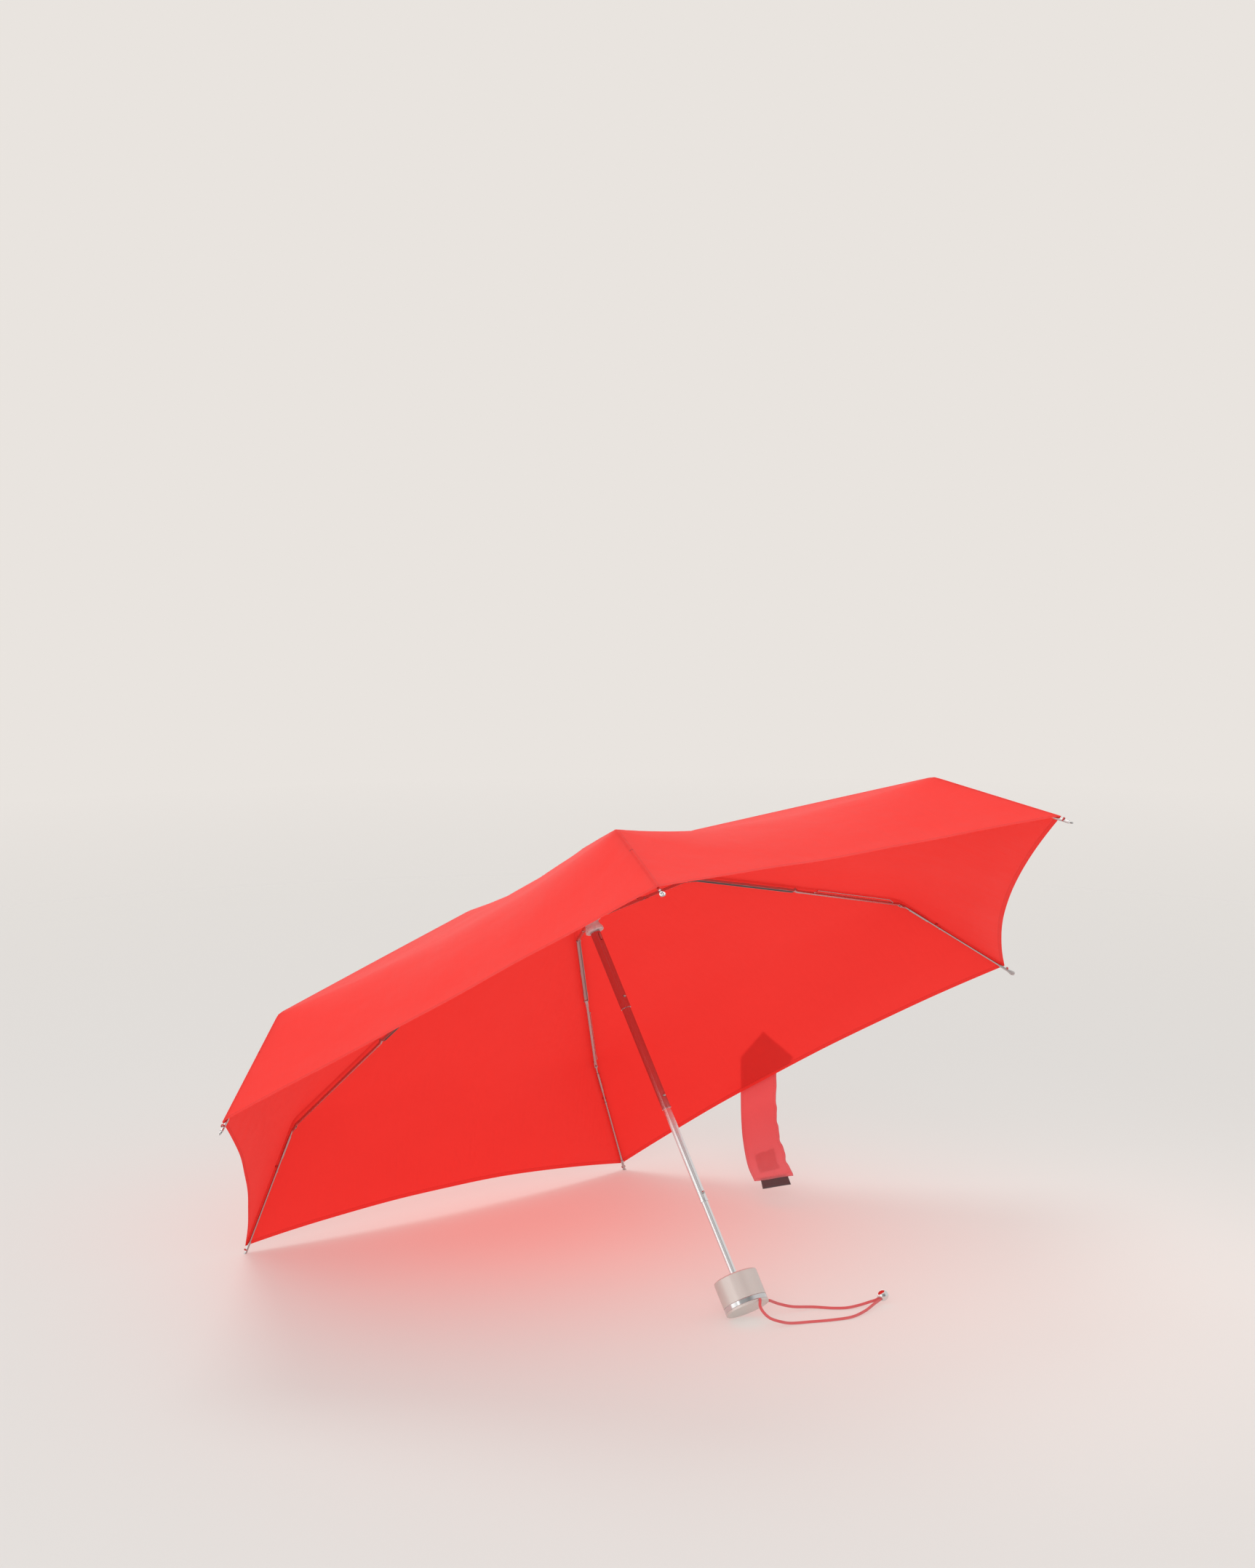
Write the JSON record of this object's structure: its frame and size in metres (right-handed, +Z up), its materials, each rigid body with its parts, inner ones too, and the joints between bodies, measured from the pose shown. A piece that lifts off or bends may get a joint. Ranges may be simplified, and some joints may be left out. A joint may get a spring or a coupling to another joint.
{
  "type": "folding umbrella",
  "caption": "Open compact folding umbrella: translucent red canopy on jointed folding ribs, telescopic metal shaft with runner and spring buttons, short round handle with wrist cord, tie strap.",
  "frame": {"origin": "centre of the flat end of the handle", "axes": "+Z up the shaft towards the crown, +X along the first rib, ribs at equal steps about Z"},
  "size_m": [0.9148, 0.7932, 0.4768],
  "materials": {
    "satin_champagne": "satin pearl lacquer",
    "bright_chrome": "polished",
    "core_plastic": "moulded",
    "frosted_plastic": "frosted, slightly see-through",
    "white_plastic": "moulded",
    "bright_tube": "bright drawn, fluted",
    "red_fabric": "fine plain-woven coated cloth",
    "tag_fabric": "woven tape",
    "hook_fabric": "hook tape",
    "coral_cord": "braided elastic",
    "grey_steel": "grey coated steel",
    "steel": "plated wire and strip"
  },
  "bodies": {
    "handle": {"handle_end_cap": "satin_champagne", "handle_band": "bright_chrome", "handle_sleeve": "satin_champagne", "handle_core": "core_plastic", "shaft_pin": "steel", "tube_4": "bright_tube"},
    "shaft_3": {"tube_3": "bright_tube"},
    "shaft_2": {"tube_2": "bright_tube"},
    "shaft_1": {"tube_1": "bright_tube", "crown": "white_plastic", "crown_wire": "steel", "top_cap": "bright_chrome", "canopy": "red_fabric"},
    "button_3": {"spring_button_3": "steel"},
    "button_2": {"spring_button_2": "steel"},
    "button_1": {"spring_button_1": "steel"},
    "catch": {"runner_catch": "steel"},
    "runner": {"runner": "frosted_plastic"},
    "top_link_1": {"top_rib_1": "steel"},
    "strut_link_1": {"strut_1": "steel"},
    "second_link_1": {"second_rib_1": "grey_steel"},
    "third_link_1": {"third_rib_1": "steel", "control_wire_1": "steel"},
    "outer_link_1": {"outer_rib_1": "steel"},
    "top_link_2": {"top_rib_2": "steel"},
    "strut_link_2": {"strut_2": "steel"},
    "second_link_2": {"second_rib_2": "grey_steel"},
    "third_link_2": {"third_rib_2": "steel", "control_wire_2": "steel"},
    "outer_link_2": {"outer_rib_2": "steel"},
    "top_link_3": {"top_rib_3": "steel"},
    "strut_link_3": {"strut_3": "steel"},
    "second_link_3": {"second_rib_3": "grey_steel"},
    "third_link_3": {"third_rib_3": "steel", "control_wire_3": "steel"},
    "outer_link_3": {"outer_rib_3": "steel"},
    "top_link_4": {"top_rib_4": "steel"},
    "strut_link_4": {"strut_4": "steel"},
    "second_link_4": {"second_rib_4": "grey_steel"},
    "third_link_4": {"third_rib_4": "steel", "control_wire_4": "steel"},
    "outer_link_4": {"outer_rib_4": "steel"},
    "top_link_5": {"top_rib_5": "steel"},
    "strut_link_5": {"strut_5": "steel"},
    "second_link_5": {"second_rib_5": "grey_steel"},
    "third_link_5": {"third_rib_5": "steel", "control_wire_5": "steel"},
    "outer_link_5": {"outer_rib_5": "steel"},
    "top_link_6": {"top_rib_6": "steel"},
    "strut_link_6": {"strut_6": "steel"},
    "second_link_6": {"second_rib_6": "grey_steel"},
    "third_link_6": {"third_rib_6": "steel", "control_wire_6": "steel"},
    "outer_link_6": {"outer_rib_6": "steel"},
    "strap_root": {"strap_anchor": "red_fabric"},
    "strap": {"tie_strap": "red_fabric", "strap_hook_patch": "hook_fabric", "strap_tag": "tag_fabric"},
    "cord": {"wrist_cord": "coral_cord", "cord_bead": "bright_chrome"}
  },
  "joints": [
    {"name": "tube_3_slide", "type": "slide", "parent": "handle", "child": "shaft_3", "axis": [0, 0, -1], "range_m": [0, 0.064], "stiffness_N_per_m": 25, "springref_m": -0.35, "deforming": ["spring_button_3"]},
    {"name": "tube_2_slide", "type": "slide", "parent": "shaft_3", "child": "shaft_2", "axis": [0, 0, -1], "range_m": [0, 0.085], "stiffness_N_per_m": 25, "springref_m": -0.35, "deforming": ["spring_button_2"]},
    {"name": "tube_1_slide", "type": "slide", "parent": "shaft_2", "child": "shaft_1", "axis": [0, 0, -1], "range_m": [0, 0.094], "stiffness_N_per_m": 25, "springref_m": -0.35, "deforming": ["spring_button_1"]},
    {"name": "button_3_press", "type": "slide", "parent": "handle", "child": "button_3", "axis": [0, -1, 0], "range_m": [0, 0.0016]},
    {"name": "button_2_press", "type": "slide", "parent": "shaft_3", "child": "button_2", "axis": [0, -1, 0], "range_m": [0, 0.0016]},
    {"name": "button_1_press", "type": "slide", "parent": "shaft_2", "child": "button_1", "axis": [0, -1, 0], "range_m": [0, 0.0016]},
    {"name": "catch_press", "type": "slide", "parent": "shaft_1", "child": "catch", "axis": [0, -1, 0], "range_m": [0, 0.0013], "deforming": ["runner_catch"]},
    {"name": "runner_slide", "type": "slide", "parent": "shaft_1", "child": "runner", "axis": [0, 0, -1], "range_m": [0, 0.09996], "stiffness_N_per_m": 50, "springref_m": -0.3, "deforming": ["canopy", "strap_anchor"]},
    {"name": "crown_hinge_1", "type": "hinge", "parent": "shaft_1", "child": "top_link_1", "pos_m": [0.0085, 0, 0.412], "axis": [0, 1, 0], "range_deg": [0, 75.55]},
    {"name": "strut_hinge_1", "type": "hinge", "parent": "top_link_1", "child": "strut_link_1", "pos_m": [0.06825, 0, 0.4015], "axis": [0, 1, 0], "range_deg": [-151.09, 0]},
    {"name": "second_hinge_1", "type": "hinge", "parent": "strut_link_1", "child": "second_link_1", "pos_m": [0.12824, 0, 0.41062], "axis": [0, 1, 0], "range_deg": [0, 150.45]},
    {"name": "elbow_hinge_1", "type": "hinge", "parent": "second_link_1", "child": "third_link_1", "pos_m": [0.24097, 0, 0.38311], "axis": [0, 1, 0], "range_deg": [-180.53, 0]},
    {"name": "knee_hinge_1", "type": "hinge", "parent": "third_link_1", "child": "outer_link_1", "pos_m": [0.3576, 0, 0.3476], "axis": [0, 1, 0], "range_deg": [0, 152.88]},
    {"name": "crown_hinge_2", "type": "hinge", "parent": "shaft_1", "child": "top_link_2", "pos_m": [0.00425, 0.00736, 0.412], "axis": [-0.866, 0.5, 0], "range_deg": [0, 75.55]},
    {"name": "strut_hinge_2", "type": "hinge", "parent": "top_link_2", "child": "strut_link_2", "pos_m": [0.03412, 0.05911, 0.4015], "axis": [-0.866, 0.5, 0], "range_deg": [-151.09, 0]},
    {"name": "second_hinge_2", "type": "hinge", "parent": "strut_link_2", "child": "second_link_2", "pos_m": [0.06412, 0.11106, 0.41062], "axis": [-0.866, 0.5, 0], "range_deg": [0, 150.45]},
    {"name": "elbow_hinge_2", "type": "hinge", "parent": "second_link_2", "child": "third_link_2", "pos_m": [0.12048, 0.20868, 0.38311], "axis": [-0.866, 0.5, 0], "range_deg": [-180.53, 0]},
    {"name": "knee_hinge_2", "type": "hinge", "parent": "third_link_2", "child": "outer_link_2", "pos_m": [0.1788, 0.30969, 0.3476], "axis": [-0.866, 0.5, 0], "range_deg": [0, 152.88]},
    {"name": "crown_hinge_3", "type": "hinge", "parent": "shaft_1", "child": "top_link_3", "pos_m": [-0.00425, 0.00736, 0.412], "axis": [-0.866, -0.5, 0], "range_deg": [0, 75.55]},
    {"name": "strut_hinge_3", "type": "hinge", "parent": "top_link_3", "child": "strut_link_3", "pos_m": [-0.03412, 0.05911, 0.4015], "axis": [-0.866, -0.5, 0], "range_deg": [-151.09, 0]},
    {"name": "second_hinge_3", "type": "hinge", "parent": "strut_link_3", "child": "second_link_3", "pos_m": [-0.06412, 0.11106, 0.41062], "axis": [-0.866, -0.5, 0], "range_deg": [0, 150.45]},
    {"name": "elbow_hinge_3", "type": "hinge", "parent": "second_link_3", "child": "third_link_3", "pos_m": [-0.12048, 0.20868, 0.38311], "axis": [-0.866, -0.5, 0], "range_deg": [-180.53, 0]},
    {"name": "knee_hinge_3", "type": "hinge", "parent": "third_link_3", "child": "outer_link_3", "pos_m": [-0.1788, 0.30969, 0.3476], "axis": [-0.866, -0.5, 0], "range_deg": [0, 152.88]},
    {"name": "crown_hinge_4", "type": "hinge", "parent": "shaft_1", "child": "top_link_4", "pos_m": [-0.0085, 0, 0.412], "axis": [0, -1, 0], "range_deg": [0, 75.55]},
    {"name": "strut_hinge_4", "type": "hinge", "parent": "top_link_4", "child": "strut_link_4", "pos_m": [-0.06825, 0, 0.4015], "axis": [0, -1, 0], "range_deg": [-151.09, 0]},
    {"name": "second_hinge_4", "type": "hinge", "parent": "strut_link_4", "child": "second_link_4", "pos_m": [-0.12824, 0, 0.41062], "axis": [0, -1, 0], "range_deg": [0, 150.45]},
    {"name": "elbow_hinge_4", "type": "hinge", "parent": "second_link_4", "child": "third_link_4", "pos_m": [-0.24097, 0, 0.38311], "axis": [0, -1, 0], "range_deg": [-180.53, 0]},
    {"name": "knee_hinge_4", "type": "hinge", "parent": "third_link_4", "child": "outer_link_4", "pos_m": [-0.3576, 0, 0.3476], "axis": [0, -1, 0], "range_deg": [0, 152.88]},
    {"name": "crown_hinge_5", "type": "hinge", "parent": "shaft_1", "child": "top_link_5", "pos_m": [-0.00425, -0.00736, 0.412], "axis": [0.866, -0.5, 0], "range_deg": [0, 75.55]},
    {"name": "strut_hinge_5", "type": "hinge", "parent": "top_link_5", "child": "strut_link_5", "pos_m": [-0.03412, -0.05911, 0.4015], "axis": [0.866, -0.5, 0], "range_deg": [-151.09, 0]},
    {"name": "second_hinge_5", "type": "hinge", "parent": "strut_link_5", "child": "second_link_5", "pos_m": [-0.06412, -0.11106, 0.41062], "axis": [0.866, -0.5, 0], "range_deg": [0, 150.45]},
    {"name": "elbow_hinge_5", "type": "hinge", "parent": "second_link_5", "child": "third_link_5", "pos_m": [-0.12048, -0.20868, 0.38311], "axis": [0.866, -0.5, 0], "range_deg": [-180.53, 0]},
    {"name": "knee_hinge_5", "type": "hinge", "parent": "third_link_5", "child": "outer_link_5", "pos_m": [-0.1788, -0.30969, 0.3476], "axis": [0.866, -0.5, 0], "range_deg": [0, 152.88]},
    {"name": "crown_hinge_6", "type": "hinge", "parent": "shaft_1", "child": "top_link_6", "pos_m": [0.00425, -0.00736, 0.412], "axis": [0.866, 0.5, 0], "range_deg": [0, 75.55]},
    {"name": "strut_hinge_6", "type": "hinge", "parent": "top_link_6", "child": "strut_link_6", "pos_m": [0.03412, -0.05911, 0.4015], "axis": [0.866, 0.5, 0], "range_deg": [-151.09, 0]},
    {"name": "second_hinge_6", "type": "hinge", "parent": "strut_link_6", "child": "second_link_6", "pos_m": [0.06412, -0.11106, 0.41062], "axis": [0.866, 0.5, 0], "range_deg": [0, 150.45]},
    {"name": "elbow_hinge_6", "type": "hinge", "parent": "second_link_6", "child": "third_link_6", "pos_m": [0.12048, -0.20868, 0.38311], "axis": [0.866, 0.5, 0], "range_deg": [-180.53, 0]},
    {"name": "knee_hinge_6", "type": "hinge", "parent": "third_link_6", "child": "outer_link_6", "pos_m": [0.1788, -0.30969, 0.3476], "axis": [0.866, 0.5, 0], "range_deg": [0, 152.88]},
    {"name": "strap_gather", "type": "slide", "parent": "shaft_1", "child": "strap_root", "axis": [0.7937, 0.6047, 0.0662], "range_m": [0, 0.34777]},
    {"name": "strap_swing", "type": "hinge", "parent": "strap_root", "child": "strap", "pos_m": [-0.3045, -0.232, 0.277], "axis": [0.5, -0.866, 0], "range_deg": [-35, 60], "stiffness_Nm_per_rad": 0.08, "deforming": ["tie_strap", "strap_hook_patch", "strap_tag"]},
    {"name": "cord_swing", "type": "hinge", "parent": "handle", "child": "cord", "pos_m": [-0.00989, 0.01362, 0.0012], "axis": [0.809, 0.5878, 0], "range_deg": [-10, 50], "stiffness_Nm_per_rad": 0.35}
  ],
  "couplings": [
    {"joint": "button_3_press", "follows": "tube_3_slide", "ratio": 0.025},
    {"joint": "button_2_press", "follows": "tube_2_slide", "ratio": 0.018824},
    {"joint": "button_1_press", "follows": "tube_1_slide", "ratio": 0.017021},
    {"joint": "crown_hinge_1", "follows": "runner_slide", "rad_per_m": 13.189},
    {"joint": "strut_hinge_1", "follows": "runner_slide", "rad_per_m": -26.378},
    {"joint": "second_hinge_1", "follows": "runner_slide", "rad_per_m": 26.267},
    {"joint": "elbow_hinge_1", "follows": "runner_slide", "rad_per_m": -31.52},
    {"joint": "knee_hinge_1", "follows": "runner_slide", "rad_per_m": 26.691},
    {"joint": "crown_hinge_2", "follows": "runner_slide", "rad_per_m": 13.189},
    {"joint": "strut_hinge_2", "follows": "runner_slide", "rad_per_m": -26.378},
    {"joint": "second_hinge_2", "follows": "runner_slide", "rad_per_m": 26.267},
    {"joint": "elbow_hinge_2", "follows": "runner_slide", "rad_per_m": -31.52},
    {"joint": "knee_hinge_2", "follows": "runner_slide", "rad_per_m": 26.691},
    {"joint": "crown_hinge_3", "follows": "runner_slide", "rad_per_m": 13.189},
    {"joint": "strut_hinge_3", "follows": "runner_slide", "rad_per_m": -26.378},
    {"joint": "second_hinge_3", "follows": "runner_slide", "rad_per_m": 26.267},
    {"joint": "elbow_hinge_3", "follows": "runner_slide", "rad_per_m": -31.52},
    {"joint": "knee_hinge_3", "follows": "runner_slide", "rad_per_m": 26.691},
    {"joint": "crown_hinge_4", "follows": "runner_slide", "rad_per_m": 13.189},
    {"joint": "strut_hinge_4", "follows": "runner_slide", "rad_per_m": -26.378},
    {"joint": "second_hinge_4", "follows": "runner_slide", "rad_per_m": 26.267},
    {"joint": "elbow_hinge_4", "follows": "runner_slide", "rad_per_m": -31.52},
    {"joint": "knee_hinge_4", "follows": "runner_slide", "rad_per_m": 26.691},
    {"joint": "crown_hinge_5", "follows": "runner_slide", "rad_per_m": 13.189},
    {"joint": "strut_hinge_5", "follows": "runner_slide", "rad_per_m": -26.378},
    {"joint": "second_hinge_5", "follows": "runner_slide", "rad_per_m": 26.267},
    {"joint": "elbow_hinge_5", "follows": "runner_slide", "rad_per_m": -31.52},
    {"joint": "knee_hinge_5", "follows": "runner_slide", "rad_per_m": 26.691},
    {"joint": "crown_hinge_6", "follows": "runner_slide", "rad_per_m": 13.189},
    {"joint": "strut_hinge_6", "follows": "runner_slide", "rad_per_m": -26.378},
    {"joint": "second_hinge_6", "follows": "runner_slide", "rad_per_m": 26.267},
    {"joint": "elbow_hinge_6", "follows": "runner_slide", "rad_per_m": -31.52},
    {"joint": "knee_hinge_6", "follows": "runner_slide", "rad_per_m": 26.691},
    {"joint": "strap_gather", "follows": "runner_slide", "ratio": 3.4773}
  ]
}
